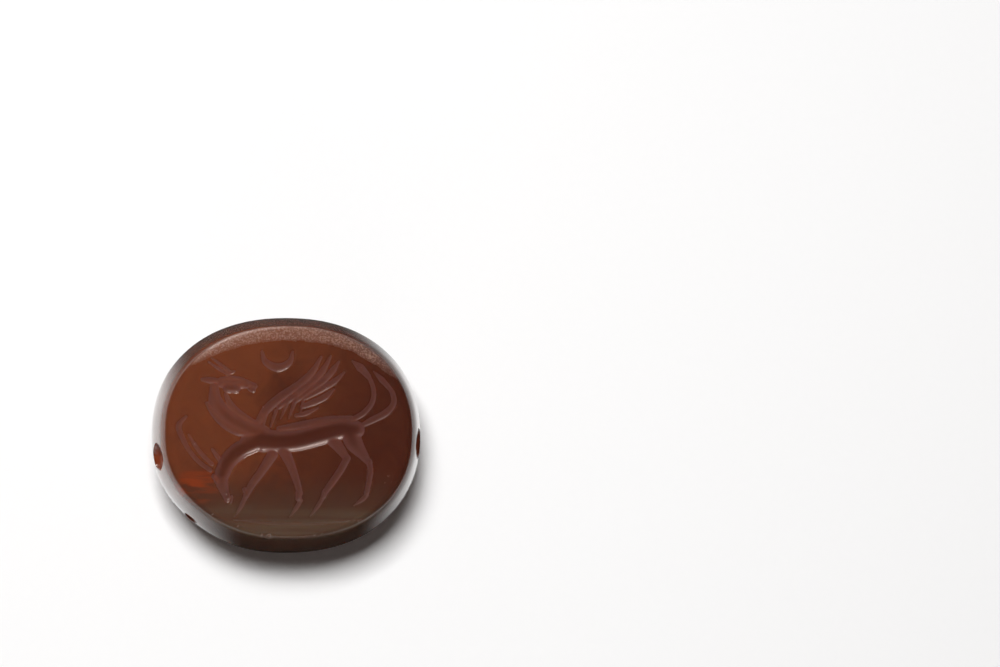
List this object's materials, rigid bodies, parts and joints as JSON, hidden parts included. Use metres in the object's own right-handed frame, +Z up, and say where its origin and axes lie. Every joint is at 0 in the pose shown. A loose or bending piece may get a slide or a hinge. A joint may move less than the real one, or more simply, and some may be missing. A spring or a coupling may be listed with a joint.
{
  "type": "scaraboid seal amulet",
  "caption": "Oval carnelian seal stone with a plain domed back, a lengthwise bore and a winged, horned beast engraved in its flat face; it lies on its back.",
  "frame": {"origin": "centre of the small flat spot under the domed back, in the middle of the bounding box's base", "axes": "+Z up, out of the engraved face; +X lengthwise along the bore, from the beast's heads to its tails; +Y towards the top of the engraved scene"},
  "size_m": [0.0152, 0.0132, 0.0086],
  "materials": {
    "carnelian": "polished"
  },
  "bodies": {
    "root": {"seal_stone": "carnelian"}
  },
  "joints": []
}
